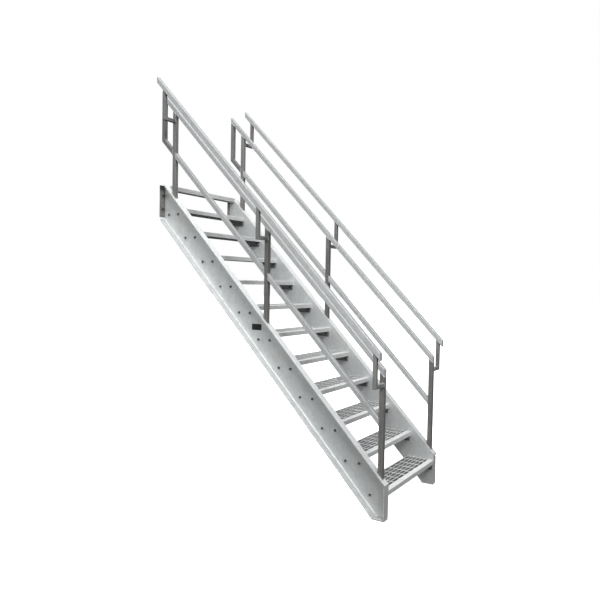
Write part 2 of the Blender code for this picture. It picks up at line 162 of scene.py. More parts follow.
# %% Floor and light
WORLD_STRENGTH = 1.0
FLOOR_GLOW = 0.65
FLOOR_HALF = 60.0
FLOOR_GREY = 0.93
FLOOR_BELOW = 0.0005
SKY_STOPS = ((0.0, 0.03), (0.45, 0.07), (0.56, 0.34), (0.80, 0.80), (1.0, 1.0))
SKY_BLUE = 1.01
SOFT_LIGHTS = {  # place, target, size, watts
    "overhead": ((0.2, -2.4, 10.0), (0.0, -1.4, 0.0), (9.0, 7.0), 1000.0),
    "upper_left": ((-5.6, -7.8, 7.0), (0.0, -0.9, -0.8), (4.5, 3.6), 1050.0),
    "left": ((-9.0, -1.6, 0.2), (0.0, -1.2, -1.0), (7.0, 4.0), 265.0)}


def stage_floor(size):
    mesh = bpy.data.meshes.new("floor")
    bm = bmesh.new()
    bmesh.ops.create_grid(bm, x_segments=2, y_segments=2, size=size)
    bm.to_mesh(mesh)
    bm.free()
    floor = bpy.data.objects.new("floor", mesh)
    floor.location = (0.0, 0.0, GROUND - FLOOR_BELOW)
    pale = bpy.data.materials.new("pale_floor")
    pale.use_nodes = True
    shader = pale.node_tree.nodes["Principled BSDF"]
    shader.inputs["Base Color"].default_value = (FLOOR_GREY, FLOOR_GREY, FLOOR_GREY, 1.0)
    shader.inputs["Roughness"].default_value = 0.9
    shader.inputs["Specular IOR Level"].default_value = 0.1
    shader.inputs["Emission Color"].default_value = (1.0, 1.0, 1.0, 1.0)
    shader.inputs["Emission Strength"].default_value = FLOOR_GLOW
    mesh.materials.append(pale)
    floor.visible_diffuse = False
    floor.visible_glossy = False
    bpy.context.scene.collection.objects.link(floor)
    floor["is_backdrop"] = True
    return floor


def soft_light(name, place, target, size, watts):
    data = bpy.data.lights.new(name, "AREA")
    data.shape = "RECTANGLE"
    data.size, data.size_y = size
    data.energy = watts
    light = bpy.data.objects.new(name, data)
    light.location = place
    aim = Vector(target) - Vector(place)
    light.rotation_euler = aim.to_track_quat("-Z", "Y").to_euler()
    light.visible_camera = False
    bpy.context.scene.collection.objects.link(light)
    return light


def white_room(stops, seen):
    """World light by elevation: stops are (share of the way from straight down
    to straight up, grey), and the camera sees plain white."""
    world = bpy.data.worlds.new("white_room")
    bpy.context.scene.world = world
    world.use_nodes = True
    tree = world.node_tree
    tree.nodes.clear()
    place = tree.nodes.new("ShaderNodeTexCoord")
    split = tree.nodes.new("ShaderNodeSeparateXYZ")
    height = tree.nodes.new("ShaderNodeMapRange")
    height.inputs["From Min"].default_value = -1.0
    ramp = tree.nodes.new("ShaderNodeValToRGB")
    while len(ramp.color_ramp.elements) < len(stops):
        ramp.color_ramp.elements.new(1.0)
    for element, (at, grey) in zip(ramp.color_ramp.elements, stops):
        element.position = at
        element.color = (grey, grey, grey * SKY_BLUE, 1.0)
    lit = tree.nodes.new("ShaderNodeBackground")
    plain = tree.nodes.new("ShaderNodeBackground")
    plain.inputs["Color"].default_value = (seen, seen, seen, 1.0)
    lit.inputs["Strength"].default_value = WORLD_STRENGTH
    ray = tree.nodes.new("ShaderNodeLightPath")
    either = tree.nodes.new("ShaderNodeMixShader")
    out = tree.nodes.new("ShaderNodeOutputWorld")
    for start, end in ((place.outputs["Generated"], split.inputs[0]),
                       (split.outputs["Z"], height.inputs["Value"]),
                       (height.outputs[0], ramp.inputs[0]),
                       (ramp.outputs["Color"], lit.inputs["Color"]),
                       (ray.outputs["Is Camera Ray"], either.inputs[0]),
                       (lit.outputs[0], either.inputs[1]),
                       (plain.outputs[0], either.inputs[2]),
                       (either.outputs[0], out.inputs[0])):
        tree.links.new(start, end)


stage_floor(FLOOR_HALF)
white_room(SKY_STOPS, 1.0)
for light_name, settings in SOFT_LIGHTS.items():
    soft_light(light_name, *settings)
bpy.context.scene.view_settings.view_transform = "Standard"
bpy.context.scene.view_settings.look = "None"
print("floor at", round(GROUND, 3), "and", len(SOFT_LIGHTS), "soft lights")

# %% [markdown]
# ## Writing a material as arithmetic
# A node tree is a sum in disguise.  `Wire` is one value in such a tree: adding or
# multiplying wires adds the Math nodes.  `Finish` is a material, and its one
# `node` method makes every other node from its type, settings and sockets.

# %% Wires and finishes


class Wire:
    """A value in a node tree that understands + - * and a smooth step."""

    def __init__(self, finish, socket):
        self.finish, self.socket = finish, socket

    def maths(self, operation, *values):
        sockets = dict(enumerate(values))
        return self.finish.node("ShaderNodeMath", {"operation": operation}, sockets)

    def __add__(self, other):
        return self.maths("ADD", self, other)

    def __sub__(self, other):
        return self.maths("SUBTRACT", self, other)

    def __rsub__(self, other):
        return self.maths("SUBTRACT", other, self)

    def __mul__(self, other):
        return self.maths("MULTIPLY", self, other)

    __radd__, __rmul__ = __add__, __mul__

    def step(self, low, high):
        """0 below low, 1 above high, smooth between."""
        return self.finish.node("ShaderNodeMapRange", {"interpolation_type": "SMOOTHSTEP"},
                                {"Value": self, "From Min": low, "From Max": high})


class Finish:
    """A material with one Principled shader."""

    def __init__(self, name):
        self.material = bpy.data.materials.new(name)
        self.material.use_nodes = True
        self.tree = self.material.node_tree
        self.shader = self.tree.nodes["Principled BSDF"]

    def node(self, kind, settings=None, sockets=None, out=0):
        made = self.tree.nodes.new(kind)
        for key, value in (settings or {}).items():
            setattr(made, key, value)
        for key, value in (sockets or {}).items():
            self.join(made.inputs[key], value)
        return Wire(self, made.outputs[out])

    def join(self, socket, value):
        if isinstance(value, Wire):
            self.tree.links.new(value.socket, socket)
        else:
            socket.default_value = value

    def set(self, **sockets):
        for key, value in sockets.items():
            self.join(self.shader.inputs[key.replace("_", " ")], value)

    def place(self):
        return self.node("ShaderNodeTexCoord", out="Object")

    def stretched(self, scale):
        return self.node("ShaderNodeMapping", {}, {"Vector": self.place(), "Scale": scale})

    def noise(self, where, scale, detail=2.0, roughness=0.5):
        return self.node("ShaderNodeTexNoise", {"noise_dimensions": "3D"},
                         {"Vector": where, "Scale": scale, "Detail": detail,
                          "Roughness": roughness}, out="Fac")

    def axis(self, name):
        return self.node("ShaderNodeSeparateXYZ", {}, {0: self.place()}, out=name)

    def mix(self, share, first, second):
        return self.node("ShaderNodeMix", {"data_type": "RGBA"}, {0: share, 6: first, 7: second},
                         out=2)

    def shade(self, colour, value):
        """A colour made lighter or darker by a value."""
        grey = self.node("ShaderNodeCombineXYZ", {}, {0: value, 1: value, 2: value})
        return self.node("ShaderNodeVectorMath", {"operation": "MULTIPLY"},
                         {0: colour[:3], 1: grey})


print("wires and finishes are ready")

# %% [markdown]
# ## Zinc
# Hot-dip zinc is no single grey.  It freezes into crystals a centimetre or so
# across (spangle), runs down as it drains, goes chalky where water stands and
# darkens where the steel under it was reactive.  Each of those is one term here:
# a Voronoi cell value for the crystals, stretched noise for the runs, and soft
# noise for the clouds.  They steer colour, roughness and a very slight bump.
# Two attributes that the pieces carry darken it too, and that darkening is painted
# shade: one says how deep a point lies in a grating, the other how much it faces the sky.

# %% Zinc, in the shades that the pieces have
CRYSTALS_PER_M = 70.0
CLOUDS_PER_M = 5.5
DRIFTS_PER_M = 1.3
GRAINS_PER_M = 420.0
RUNS_PER_M = (34.0, 34.0, 2.6)
FLASHES_PER_M = (60.0, 60.0, 9.0)
BUMP_SHARE = 0.12
BUMP_HEIGHT = 0.0004
STAIN = (0.30, 0.29, 0.26, 1.0)
STAIN_SHARE = 0.25


def zinc(name, colour, metallic=0.35, rough=0.45, cloud=0.12, runs=0.07, crystals=0.06,
         foot=(0.0, -2.5, -0.7), painted_recess_shade=0.0, painted_top_shade=0.0, flash_share=0.16,
         bright=(0.86, 0.87, 0.87, 1.0)):
    """foot is (share of darkening, height of full dark, height of none); the next
    two are the shares of painted shade from depth in a grating and from facing the sky."""
    finish = Finish(name)
    place = finish.place()
    crystal = finish.node("ShaderNodeTexVoronoi", {"feature": "F1"},
                          {"Vector": place, "Scale": CRYSTALS_PER_M}, out="Color")
    crystal = finish.node("ShaderNodeSeparateColor", {}, {0: crystal})
    clouds = finish.noise(place, CLOUDS_PER_M, 5.0, 0.62)
    drift = finish.noise(place, DRIFTS_PER_M, 2.0)
    run = finish.noise(finish.stretched(RUNS_PER_M), 1.0, 3.0)
    grain = finish.noise(place, GRAINS_PER_M, 2.0)
    level = (1.0 + (clouds - 0.5) * cloud * 2 + (drift - 0.5) * cloud * 1.2
             + (run - 0.5) * runs * 2 + (crystal - 0.5) * crystals * 2 + (grain - 0.5) * 0.06)
    share, low, high = foot
    if share:
        level = level * (1.0 - share + finish.axis("Z").step(low, high) * share)
    # Painted shade: the zinc darkens with depth between the grating's bars.
    if painted_recess_shade:
        deep_shade = finish.node("ShaderNodeAttribute", {"attribute_name": "painted_recess_shade"}, out="Fac")
        level = level * (1.0 - deep_shade.step(0.0, 0.6) * painted_recess_shade)
    # Painted shade: faces that look at the sky are painted darker.
    if painted_top_shade:
        up = finish.node("ShaderNodeAttribute", {"attribute_name": "up"}, out="Fac")
        level = level * (1.0 - up.step(0.25, 0.6) * painted_top_shade)
    body = finish.shade(colour, level)
    patches = (clouds * 0.7 + run * 0.3 + drift * 0.25).step(0.62, 0.78)
    body = finish.mix(patches * STAIN_SHARE, body, STAIN)
    flash = finish.noise(finish.stretched(FLASHES_PER_M), 1.0, 4.0).step(0.60, 0.72)
    body = finish.mix(flash * flash_share, body, bright)
    bump = finish.node("ShaderNodeBump", {}, {"Strength": BUMP_SHARE, "Distance": BUMP_HEIGHT,
                                              "Height": clouds + crystal * 0.3 + grain * 0.2})
    finish.set(Base_Color=body, Metallic=metallic, Normal=bump,
               Roughness=rough + (crystal - 0.5) * 0.14 + (clouds - 0.5) * 0.16)
    return finish.material


WEB_ZINC = zinc("section_zinc", (0.60, 0.62, 0.62, 1.0), foot=(0.20, -2.5, -0.7))
# Its sky-facing faces get painted shade.
RAIL_ZINC = zinc("rail_zinc", (0.46, 0.475, 0.48, 1.0), metallic=0.35, rough=0.42,
                 crystals=0.05, cloud=0.10, flash_share=0.12, painted_top_shade=0.32)
POST_ZINC = zinc("post_zinc", (0.27, 0.27, 0.258, 1.0), metallic=0.30, rough=0.5, cloud=0.16,
                 runs=0.14, foot=(0.46, -0.8, 1.2), bright=(0.45, 0.45, 0.44, 1.0))
BRACKET_ZINC = zinc("bracket_zinc", (0.19, 0.19, 0.19, 1.0), metallic=0.30, rough=0.5,
                    cloud=0.16, runs=0.14, bright=(0.40, 0.40, 0.40, 1.0))
# Painted shade deep between the grating's bars.
TREAD_ZINC = zinc("grating_zinc", (0.60, 0.61, 0.61, 1.0), cloud=0.12, painted_recess_shade=0.75)
WELD_ZINC = zinc("weld_zinc", (0.42, 0.42, 0.41, 1.0), metallic=0.4, rough=0.42, cloud=0.3)
# Painted shade: the top plates are dark for the shade inside the channel, and darkest at their top,
# under the channel's top flange.
SHADED_PLATE_ZINC = zinc("painted_shade_plate_zinc", (0.20, 0.20, 0.19, 1.0), metallic=0.3, rough=0.5, cloud=0.35,
                  foot=(0.85, 0.0, -0.05))
# Painted shade: the bolts are nearly black for the shade that they sit in.
SHADED_BOLT_ZINC = zinc("painted_shade_bolt_zinc", (0.09, 0.09, 0.09, 1.0), metallic=0.4, rough=0.4,
                 bright=(0.3, 0.3, 0.3, 1.0))
WASHER_ZINC = zinc("washer_zinc", (0.52, 0.53, 0.53, 1.0), metallic=0.5, rough=0.35)
print("zinc finishes:", [m.name for m in bpy.data.materials if m.name.endswith("_zinc")])

# %% [markdown]
# ## Black plate
# The blank plate on the left web is black lacquered sheet.  Lacquer is satin, so
# its roughness wanders a little, and dust and fine scratches lighten it.

# %% Black lacquer


def lacquer(name):
    finish = Finish(name)
    dust = finish.noise(finish.place(), 38.0, 4.0).step(0.5, 0.8)
    scratch = finish.noise(finish.stretched((30.0, 900.0, 60.0)), 1.0, 2.0).step(0.66, 0.72)
    colour = finish.mix(dust * 0.18 + scratch * 0.12, (0.006, 0.006, 0.0065, 1.0),
                        (0.09, 0.09, 0.085, 1.0))
    finish.set(Base_Color=colour, Roughness=0.32 + dust * 0.3)
    return finish.material


LACQUER = lacquer("black_lacquer")
print("made", LACQUER.name)

# %% [markdown]
# ## Finished copies of the CAD pieces
# The CAD meshes are loose triangles with knife-sharp arrises.  Real steel has a
# small radius on every edge, which catches the light.  So each piece is merged
# into clean faces, drilled or capped where it needs it, bevelled, and given
# normals weighted by face area, which keeps the flats flat.

# %% Helpers for finished copies
ARRIS = 0.0009
TUBE_ARRIS = 0.0006
GRATING_ARRIS = 0.0006
NOSING_ARRIS = 0.002
BOLT_ARRIS = 0.0004
NAMEPLATE_ARRIS = 0.0003
SAME_POINT = 1e-5
FLAT = math.radians(1.0)
SHARP = math.radians(40.0)


def merged(node):
    """A CAD node's faces, welded at their corners, coplanar triangles joined."""
    bm = bmesh.new()
    bm.from_mesh(NODES[node].data)
    bmesh.ops.remove_doubles(bm, verts=bm.verts, dist=SAME_POINT)
    bmesh.ops.dissolve_limit(bm, angle_limit=FLAT, verts=bm.verts, edges=bm.edges)
    return bm


def as_mesh(bm, name):
    mesh = bpy.data.meshes.new(name)
    bm.to_mesh(mesh)
    bm.free()
    return mesh


def evaluated(obj):
    """The mesh that obj's modifiers make.  obj itself is removed."""
    depsgraph = bpy.context.evaluated_depsgraph_get()
    mesh = bpy.data.meshes.new_from_object(obj.evaluated_get(depsgraph), depsgraph=depsgraph)
    bpy.data.objects.remove(obj, do_unlink=True)
    return mesh


def scratch_object(mesh):
    obj = bpy.data.objects.new(mesh.name, mesh)
    bpy.context.scene.collection.objects.link(obj)
    return obj


def softened(mesh, width=ARRIS, cutter=None):
    """Cuts, then rounds the arrises, then shades flats flat and rounds round."""
    mesh.shade_smooth()
    obj = scratch_object(mesh)
    if cutter:
        tool = scratch_object(cutter)
        cut = obj.modifiers.new("cut", "BOOLEAN")
        cut.operation, cut.solver, cut.object = "DIFFERENCE", "EXACT", tool
    bevel = obj.modifiers.new("arris", "BEVEL")
    bevel.width, bevel.segments, bevel.limit_method, bevel.angle_limit = width, 2, "ANGLE", SHARP
    normals = obj.modifiers.new("normals", "WEIGHTED_NORMAL")
    normals.weight = 100
    result = evaluated(obj)
    if cutter:
        bpy.data.objects.remove(tool, do_unlink=True)
    return result


def show(name, mesh, material, stands_for=()):
    """A finished piece, riding on the stair's one body."""
    mesh.name = name
    mesh.materials.clear()
    mesh.materials.append(material)
    piece = scratch_object(mesh)
    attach(piece, "root")
    if stands_for:
        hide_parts(*stands_for)
    return piece


print("arris radius %.1f mm" % (ARRIS * 1000))

# %% [markdown]
# ## Which ends are welded
# A tube's end is the only face with many corners, because the four sides and the
# small corner faces are all rectangles.  A ray from its middle says whether the
# end meets another piece within a millimetre.  If it does, the end's outline is
# where the welder ran a bead; if not, it is an open end that gets a cap.

# %% Ends, welded or free
END_CORNERS = 12
TOUCH = 0.002
RAY_START = 0.00005
TOWARDS_RIM = 0.7


def touching(tree, centre, normal):
    """Whether a ray from just over the point meets another piece at once."""
    hit = tree.ray_cast(centre + normal * RAY_START, normal, TOUCH)
    return hit[0] is not None


def tree_without(skip):
    """Every CAD piece but one, as a tree that rays can be cast at."""
    points, faces = [], []
    for name, obj in NODES.items():
        if name != skip:
            base = len(points)
            points += [v.co.copy() for v in obj.data.vertices]
            faces += [[base + i for i in p.vertices] for p in obj.data.polygons]
    return BVHTree.FromPolygons(points, faces)


def sort_ends(node):
    """(welded outlines, free end centres) of one tube."""
    bm, tree = merged(node), tree_without(node)
    welded, free = [], []
    for face in bm.faces:
        if len(face.verts) < END_CORNERS:
            continue
        inner = face.calc_center_median()
        if any(touching(tree, inner.lerp(v.co, TOWARDS_RIM), face.normal) for v in face.verts):
            welded.append([v.co.copy() for v in face.verts])
        else:
            free.append(face.calc_center_median())
    bm.free()
    return welded, free


TUBES = [n for n in NODES if any(k in n for k in ("rail", "post", "bracket", "loop"))]
tube_seams, free_ends = [], {}
for node in TUBES:
    welded, free_ends[node] = sort_ends(node)
    tube_seams += welded
print("welded ends:", len(tube_seams), "free ends:",
      {n: len(f) for n, f in free_ends.items() if f})

# %% [markdown]
# ## Tubes: drilled posts and capped ends
# Zinc must drain from a closed tube, so the posts have small vent holes on their
# front faces, under the guard rail and under the midrail.  A Boolean drills them.
# Free ends have a cap plate set in a little, which an inset face gives.  Each
# point also notes how much it faces the sky, where the rails' zinc is painted darker as painted
# shade.

# %% Tubes
VENT_RADIUS = 0.0055
VENT_DEPTH = 0.014
VENT_HEIGHTS = (0.772, 0.388)
VENT_SIDES = 16
CAP_LIP = 0.0026
CAP_SET_IN = 0.0008
SAME_END = 0.001


def cap_ends(bm, centres):
    """Sets a cap in, inside a narrow lip, at each free end."""
    for centre in centres:
        ends = [f for f in bm.faces if len(f.verts) >= END_CORNERS
                and (f.calc_center_median() - centre).length < SAME_END]
        bmesh.ops.inset_region(bm, faces=ends, thickness=CAP_LIP, depth=0.0)
        bmesh.ops.translate(bm, verts=list({v for f in ends for v in f.verts}),
                            vec=-ends[0].normal * CAP_SET_IN)


def vents(node):
    """Round cutters across the front wall of a post."""
    low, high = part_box(node)
    x, y = (low.x + high.x) / 2, (low.y + high.y) / 2
    bm = bmesh.new()
    for height in VENT_HEIGHTS:
        at = Matrix.Translation((x, low.y, pitch_z(y, height)))
        bmesh.ops.create_cone(bm, cap_ends=True, segments=VENT_SIDES, radius1=VENT_RADIUS,
                              radius2=VENT_RADIUS, depth=VENT_DEPTH,
                              matrix=at @ Matrix.Rotation(math.radians(90), 4, "X"))
    return as_mesh(bm, "vents")


def mark_top_shade(mesh):
    """How much each point faces the sky, where the rails' zinc gets painted shade."""
    facing = [max(0.0, v.normal.z) for v in mesh.vertices]
    mesh.attributes.new("up", "FLOAT", "POINT").data.foreach_set("value", facing)


for node in TUBES:
    bm = merged(node)
    cap_ends(bm, free_ends[node])
    tube = softened(as_mesh(bm, node), TUBE_ARRIS, vents(node) if "post" in node else None)
    mark_top_shade(tube)
    zinc_here = (RAIL_ZINC if "rail" in node else POST_ZINC if "post" in node else BRACKET_ZINC)
    show(node + "_finished", tube, zinc_here, [node])
print(len(TUBES), "tubes")

# %% [markdown]
# ## Channels and plates
# The channels' fillets and rounded toes are already in the CAD.  They only need
# their arrises, and so do the connection plates, whose edges are sawn.

# %% Channels and plates
for side, _ in SIDES:
    for part, material in (("stringer", WEB_ZINC), ("top_plate", SHADED_PLATE_ZINC),
                           ("front_plate", WEB_ZINC), ("foot_plate", WEB_ZINC)):
        node = "%s_%s" % (side, part)
        steel = softened(as_mesh(merged(node), node))
        show(node + "_finished", steel, material, [node])
nosing = softened(as_mesh(merged("landing_nosing"), "landing_nosing"), NOSING_ARRIS)
show("landing_nosing_finished", nosing, TREAD_ZINC, ["landing_nosing"])
print("channels, plates and landing nosing")

# %% [markdown]
# ## Treads
# Each tread is one welded panel: a nosing angle, its bearing bars and two end
# plates.  The merged copy has them all, and its points note their depth below the
# deck, by which the zinc is painted darker as painted shade for the little light that reaches down
# between the bars.

# %% Treads
BAR_DEPTH = 0.032
NOSING_LIP = 0.010


def paint_recess_shade(mesh, low, high):
    """How deep a point lies below the deck, behind the nosing, for painted shade: 0 top, 1 bar's
    foot.
    """
    depths = [min(1.0, (high.z - v.co.z) / BAR_DEPTH) if v.co.y > low.y + NOSING_LIP else 0.0
              for v in mesh.vertices]
    mesh.attributes.new("painted_recess_shade", "FLOAT", "POINT").data.foreach_set("value", depths)


for node in TREADS:
    panel = softened(as_mesh(merged(node), node), GRATING_ARRIS)
    paint_recess_shade(panel, *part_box(node))
    show(node + "_finished", panel, TREAD_ZINC, [node])
print(len(TREADS), "treads")

# %% [markdown]
# ## A way to use Geometry Nodes from a script
# What repeats is made by Geometry Nodes: one tree with named inputs, fed by a
# mesh of points or lines.  `Recipe` builds the tree, and `bake` runs it once and
# keeps the plain mesh.

# %% Recipes


class Recipe:
    """A Geometry Nodes tree built by a script."""

    def __init__(self, name, inputs):
        self.tree = bpy.data.node_groups.new(name, "GeometryNodeTree")
        face = self.tree.interface
        face.new_socket("Geometry", in_out="INPUT", socket_type="NodeSocketGeometry")
        self.ids = {}
        for label, kind in inputs.items():
            made = face.new_socket(label, in_out="INPUT", socket_type="NodeSocket" + kind)
            self.ids[label] = made.identifier
        face.new_socket("Geometry", in_out="OUTPUT", socket_type="NodeSocketGeometry")
        self.given = self.tree.nodes.new("NodeGroupInput").outputs
        self.out = self.tree.nodes.new("NodeGroupOutput").inputs[0]

    def node(self, kind, settings=None, sockets=None):
        made = self.tree.nodes.new(kind)
        for key, value in (settings or {}).items():
            setattr(made, key, value)
        for key, value in (sockets or {}).items():
            if isinstance(value, bpy.types.NodeSocket):
                self.tree.links.new(value, made.inputs[key])
            elif isinstance(value, list):
                for one in value:
                    self.tree.links.new(one, made.inputs[key])
            else:
                made.inputs[key].default_value = value
        return made.outputs

    def maths(self, operation, first, second=0.0):
        return self.node("ShaderNodeMath", {"operation": operation}, {0: first, 1: second})[0]

    def vector(self, x=0.0, y=0.0, z=0.0):
        return self.node("ShaderNodeCombineXYZ", {}, {"X": x, "Y": y, "Z": z})[0]

    def end(self, geometry, material):
        """Real geometry, with its material."""
        real = self.node("GeometryNodeRealizeInstances", {}, {0: geometry})[0]
        done = self.node("GeometryNodeSetMaterial", {}, {"Geometry": real, "Material": material})[0]
        self.tree.links.new(done, self.out)

    def bake(self, mesh, **values):
        obj = scratch_object(mesh)
        modifier = obj.modifiers.new(self.tree.name, "NODES")
        modifier.node_group = self.tree
        for label, value in values.items():
            modifier[self.ids[label.replace("_", " ")]] = value
        return evaluated(obj)


def points_mesh(name, points, edges=(), **attributes):
    mesh = bpy.data.meshes.new(name)
    mesh.from_pydata([tuple(p) for p in points], list(edges), [])
    for key, values in attributes.items():
        mesh.attributes.new(key, "FLOAT", "POINT").data.foreach_set("value", values)
    return mesh


print("recipes are ready")

# %% [markdown]
# ## Cross rods
# A welded grating has square rods across its bearing bars, twisted for grip and
# forged in flush with the bars' tops.  Each rod is a line with a turning tilt,
# swept with a square, and it is set at every point where a rod starts.

# %% Cross rods
ROD = 0.0062
ROD_PITCH = 0.103
RODS = 8
ROD_TURNS = 3.0
ROD_STEPS = 25
ROD_SINK = 0.62           # of its thickness, from the bars' tops to its middle
ROD_SHORT = 0.001
BAR_FIRST = 0.042
BAR_TOP = 0.0005


def rod_recipe():
    recipe = Recipe("cross_rods", {"Length": "Float", "Thickness": "Float",
                                   "Turns": "Float", "Steps": "Int", "Zinc": "Material"})
    given = recipe.given
    line = recipe.node("GeometryNodeCurvePrimitiveLine", {},
                       {"End": recipe.vector(y=given["Length"])})[0]
    line = recipe.node("GeometryNodeResampleCurve", {}, {"Curve": line, "Count": given["Steps"]})[0]
    share = recipe.node("GeometryNodeSplineParameter")["Factor"]
    tilt = recipe.maths("MULTIPLY", share, recipe.maths("MULTIPLY", given["Turns"], math.tau))
    line = recipe.node("GeometryNodeSetCurveTilt", {}, {"Curve": line, "Tilt": tilt})[0]
    square = recipe.node("GeometryNodeCurvePrimitiveQuadrilateral", {},
                         {"Width": given["Thickness"], "Height": given["Thickness"]})[0]
    rod = recipe.node("GeometryNodeCurveToMesh", {},
                      {"Curve": line, "Profile Curve": square, "Fill Caps": True})[0]
    placed = recipe.node("GeometryNodeInstanceOnPoints", {},
                         {"Points": given["Geometry"], "Instance": rod})[0]
    recipe.end(placed, given["Zinc"])
    return recipe


RODS_TREE = rod_recipe()
for name, group in (("cross_rods", TREADS[1:]), ("top_cross_rods", TREADS[:1])):
    starts = []
    for node in group:
        low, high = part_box(node)
        for i in range(RODS):
            starts.append(((i - (RODS - 1) / 2) * ROD_PITCH, low.y + BAR_FIRST,
                           high.z - BAR_TOP - ROD * ROD_SINK))
    low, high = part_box(group[0])
    rods = RODS_TREE.bake(points_mesh(name, starts),
                          Length=high.y - low.y - BAR_FIRST - ROD_SHORT, Thickness=ROD,
                          Turns=ROD_TURNS, Steps=ROD_STEPS, Zinc=TREAD_ZINC)
    show(name, rods, TREAD_ZINC)
    print(name, len(starts), "rods,", len(rods.polygons), "faces")

# %% [markdown]
# ## Tread bolts
# Two M12 bolts a side hold each tread: hex head and washer in the channel's
# recess, washer and nut on the tread's end plate.  One recipe makes both, as a
# washer, a hexagon with a turned top and the screw's end.  Every point says by
# its `side` which way its bolt looks, and a seed spins the hexagons at random.

# %% Tread bolts
BOLT_BEHIND = (0.030, 0.144)
BOLT_BELOW = 0.059
CROWN_SHARE = 0.16        # of a hexagon's height, which its chamfer takes
CROWN_TAPER = 0.86
WASHER_SIDES, HEX_SIDES, SCREW_SIDES = 20, 6, 12


def bolt_recipe():
    recipe = Recipe("tread_bolts", {"Hex Radius": "Float", "Height": "Float",
                                    "Washer Radius": "Float", "Washer Height": "Float",
                                    "Screw Radius": "Float", "Screw Length": "Float",
                                    "Seed": "Int", "Zinc": "Material", "Washer Zinc": "Material"})
    given = recipe.given

    def turned(sides, low, high, height, base):
        """A cone with its foot at base, up the bolt's axis."""
        cone = recipe.node("GeometryNodeMeshCone", {}, {
            "Vertices": sides, "Radius Top": high, "Radius Bottom": low, "Depth": height})[0]
        return recipe.node("GeometryNodeTransform", {}, {
            "Geometry": cone, "Translation": recipe.vector(z=base)})[0]

    washer_high = given["Washer Height"]
    top = recipe.maths("MULTIPLY", given["Height"], CROWN_SHARE)
    flank = recipe.maths("SUBTRACT", given["Height"], top)
    chamfered = recipe.maths("MULTIPLY", given["Hex Radius"], CROWN_TAPER)
    washer = turned(WASHER_SIDES, given["Washer Radius"], given["Washer Radius"], washer_high,
                    0.0)
    hexagon = turned(HEX_SIDES, given["Hex Radius"], given["Hex Radius"], flank, washer_high)
    crown = turned(HEX_SIDES, given["Hex Radius"], chamfered, top,
                   recipe.maths("ADD", washer_high, flank))
    screw = turned(SCREW_SIDES, given["Screw Radius"], given["Screw Radius"], given["Screw Length"],
                   washer_high)
    steel = recipe.node("GeometryNodeJoinGeometry", {}, {0: [hexagon, crown, screw]})[0]
    side = recipe.node("GeometryNodeInputNamedAttribute", {"data_type": "FLOAT"},
                       {"Name": "side"})["Attribute"]
    aim = recipe.node("FunctionNodeAlignRotationToVector", {"axis": "Z"},
                      {"Vector": recipe.vector(x=side)})[0]
    spin = recipe.node("FunctionNodeRandomValue", {"data_type": "FLOAT"},
                       {"Max": math.tau, "Seed": given["Seed"]})
    spin = [s for s in spin if s.enabled][0]
    spun = recipe.node("FunctionNodeEulerToRotation", {}, {0: recipe.vector(z=spin)})[0]
    aim = recipe.node("FunctionNodeRotateRotation", {"rotation_space": "LOCAL"},
                      {0: aim, 1: spun})[0]
    coated = []
    for turning, zinc_of in ((washer, "Washer Zinc"), (steel, "Zinc")):
        placed = recipe.node("GeometryNodeInstanceOnPoints", {}, {
            "Points": given["Geometry"], "Instance": turning, "Rotation": aim})[0]
        real = recipe.node("GeometryNodeRealizeInstances", {}, {0: placed})[0]
        coated.append(recipe.node("GeometryNodeSetMaterial", {}, {
            "Geometry": real, "Material": given[zinc_of]})[0])
    both = recipe.node("GeometryNodeJoinGeometry", {}, {0: coated})[0]
    recipe.tree.links.new(both, recipe.out)
    return recipe


BOLTS_TREE = bolt_recipe()


def bolt_points(name, x, outwards):
    places, sides = [], []
    for node in TREADS:
        low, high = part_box(node)
        for _, sign in SIDES:
            for behind in BOLT_BEHIND:
                places.append((sign * x, low.y + behind, high.z - BOLT_BELOW))
                sides.append(sign * outwards)
    return points_mesh(name, places, side=sides)


def show_bolts(name, mesh):
    """Bolts keep the two materials that the recipe gave them."""
    mesh.name = name
    given = list(mesh.materials)
    used = [given[p.material_index] for p in mesh.polygons]
    kept = [m for m in given if m in used]
    mesh.materials.clear()
    for material in kept:
        mesh.materials.append(material)
    mesh.polygons.foreach_set("material_index", [kept.index(m) for m in used])
    piece = scratch_object(mesh)
    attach(piece, "root")
    print(name, len(mesh.polygons), "faces, materials", [m.name for m in mesh.materials])


HEAD_HEIGHT, HEAD_SCREW, HEAD_SEED = 0.0075, 0.004, 7
NUT_HEIGHT, NUT_SCREW, NUT_SEED = 0.010, 0.016, 11
M12 = {"Hex_Radius": 0.0108, "Washer_Radius": 0.0125, "Washer_Height": 0.0025,
       "Screw_Radius": 0.006, "Zinc": SHADED_BOLT_ZINC, "Washer_Zinc": WASHER_ZINC}
show_bolts("tread_bolt_heads", BOLTS_TREE.bake(
    bolt_points("heads", WEB_OUTER, 1.0),
    Height=HEAD_HEIGHT, Screw_Length=HEAD_SCREW, Seed=HEAD_SEED, **M12))
show_bolts("tread_bolt_nuts", BOLTS_TREE.bake(
    bolt_points("nuts", WEB_INNER - GAP - TREAD_END_SHEET, -1.0),
    Height=NUT_HEIGHT, Screw_Length=NUT_SCREW, Seed=NUT_SEED, **M12))

# %% [markdown]
# ## Connection bolts
# The stair hangs on two M16 bolts a side.  Their heads are in front of the top
# plates and their screws stop at the plates' backs, where the landing begins.
# They have their own small mesh, because they look along the stair and not
# across it: a washer, a hexagon with its crown and a shank, each a turned prism.

# %% Connection bolts
PLATE_BACK = 0.0
PLATE_THICK = 0.010
CONNECTION_X = (WEB_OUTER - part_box("left_top_plate")[0].x) / 2
CONNECTION_BELOW = (0.086, 0.213)
